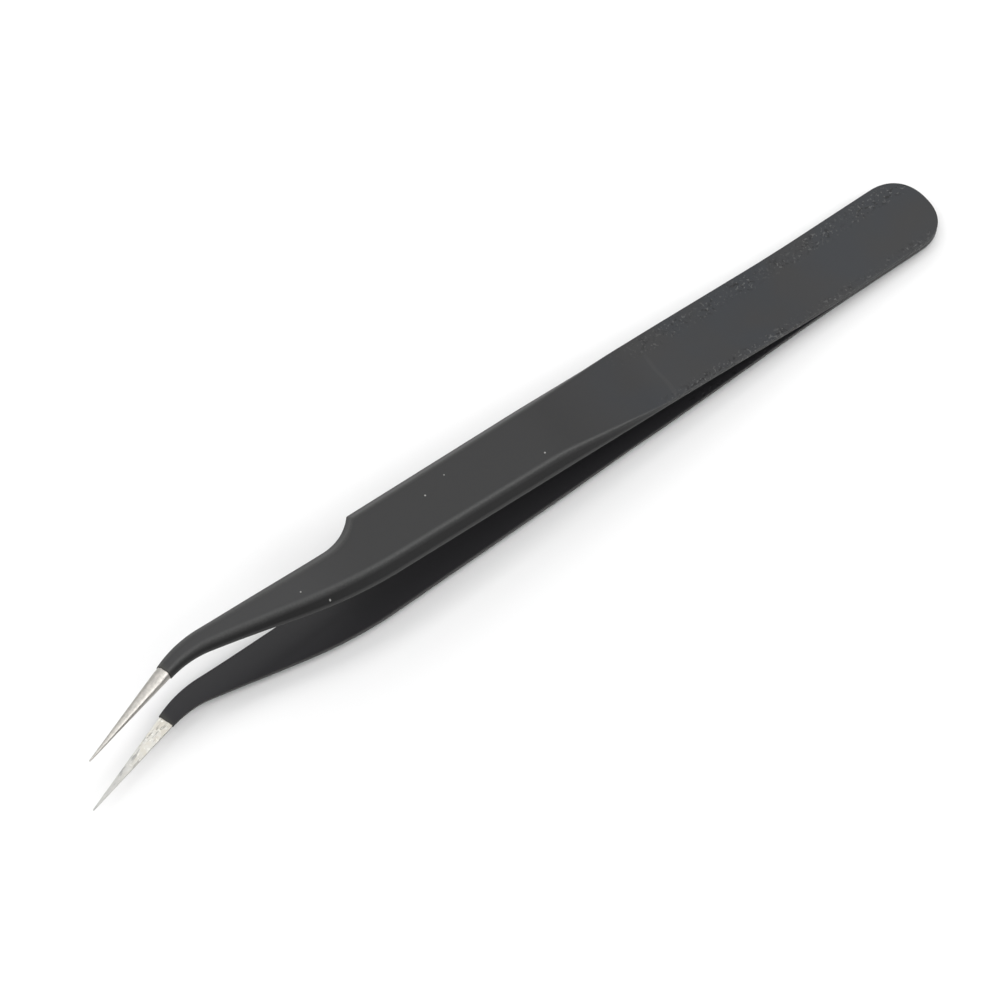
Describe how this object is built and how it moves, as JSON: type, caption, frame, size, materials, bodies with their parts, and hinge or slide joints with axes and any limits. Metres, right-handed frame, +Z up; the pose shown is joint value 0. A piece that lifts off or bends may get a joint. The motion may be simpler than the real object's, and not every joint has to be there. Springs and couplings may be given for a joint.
{
  "type": "curved tweezers",
  "caption": "Curved fine-point tweezers: coated spring-steel arms joined at the tail, with shouldered grips and bare points that hook sideways and meet when pressed.",
  "frame": {"origin": "middle of the bounding box at the table: halfway along the tool, in the middle of its width", "axes": "+X from the tail to the points, +Y to the side that the points curve to, +Z up from the table, across the gap between the arms"},
  "size_m": [0.1202, 0.0094, 0.0141],
  "materials": {
    "coated_strip": "matt black coat on spring steel strip",
    "black_coat": "matt black, slightly satin coat",
    "bare_steel": "bare stainless steel, satin",
    "weld_steel": "melted steel inside the tail"
  },
  "bodies": {
    "tail": {"upper_tail": "coated_strip", "lower_tail": "coated_strip", "spot_welds": "weld_steel"},
    "upper_arm": {"upper_spring": "coated_strip", "upper_blade": "bare_steel", "upper_coat": "black_coat"},
    "lower_arm": {"lower_spring": "coated_strip", "lower_blade": "bare_steel", "lower_coat": "black_coat"}
  },
  "joints": [
    {"name": "upper_arm_flex", "type": "hinge", "parent": "tail", "child": "upper_arm", "pos_m": [-0.03315, 0, 0.00408], "axis": [0, 1, 0], "range_deg": [0, 3.47], "stiffness_Nm_per_rad": 0.38, "deforming": ["upper_spring"]},
    {"name": "lower_arm_flex", "type": "hinge", "parent": "tail", "child": "lower_arm", "pos_m": [-0.03304, 0, 0.00207], "axis": [0, -1, 0], "range_deg": [0, 3.47], "stiffness_Nm_per_rad": 0.38, "deforming": ["lower_spring"]}
  ],
  "couplings": [
    {"joint": "lower_arm_flex", "follows": "upper_arm_flex", "ratio": 1}
  ]
}
